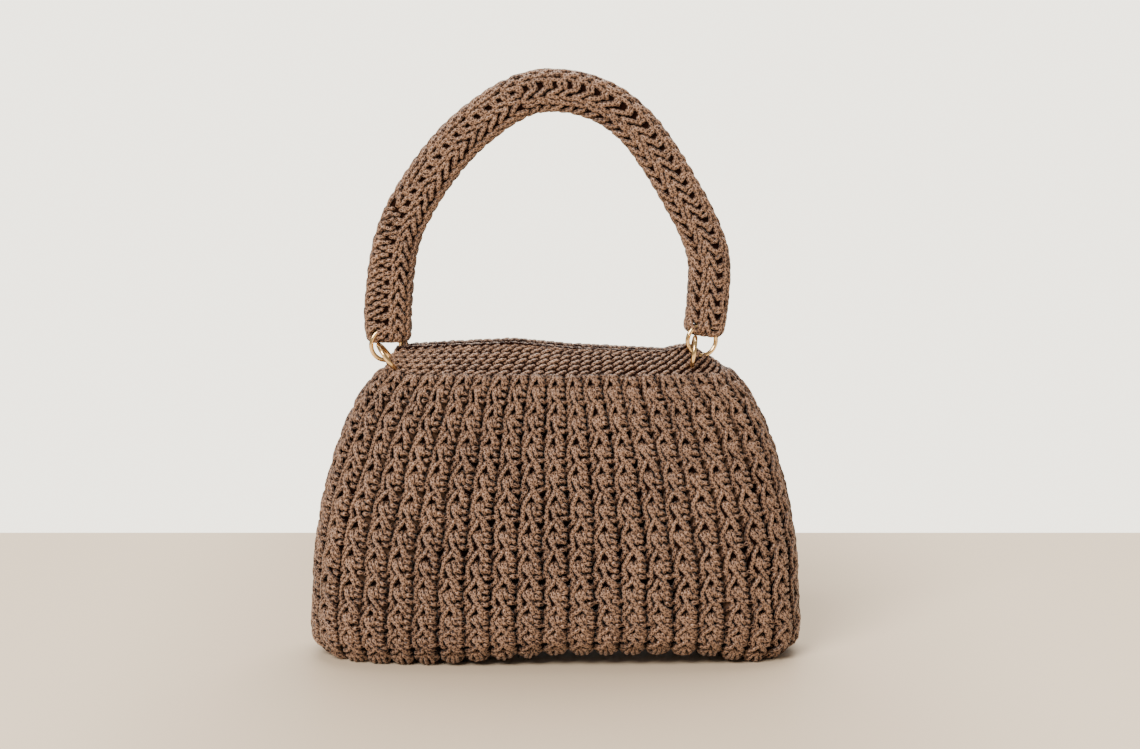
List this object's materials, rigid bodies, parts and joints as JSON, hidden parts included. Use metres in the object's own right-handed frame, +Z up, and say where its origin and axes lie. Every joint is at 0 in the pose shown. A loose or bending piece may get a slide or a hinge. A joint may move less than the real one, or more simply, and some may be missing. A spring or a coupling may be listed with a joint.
{
  "type": "crochet handbag",
  "caption": "Crochet handbag: ribbed, hollow trapezoid body with an arched base, plain stitched band round a long mouth, padded arched handle on linked metal rings.",
  "frame": {"origin": "on the floor, under the middle of the bag's box", "axes": "+Z up, +X to the right of the bag seen from its front, +Y from the front to the back"},
  "size_m": [0.2812, 0.1, 0.3324],
  "materials": {
    "body_cord": "satin polyester cord crocheted in raised ribs",
    "band_cord": "satin polyester cord in plain rows",
    "handle_cord": "satin polyester cord crocheted lengthwise round a padding",
    "ring_metal": "polished pale gold"
  },
  "bodies": {
    "root": {"body": "body_cord", "top_band": "band_cord", "handle": "handle_cord", "ring_left_handle": "ring_metal", "ring_left_front": "ring_metal", "ring_right_handle": "ring_metal", "ring_right_front": "ring_metal"}
  },
  "joints": []
}
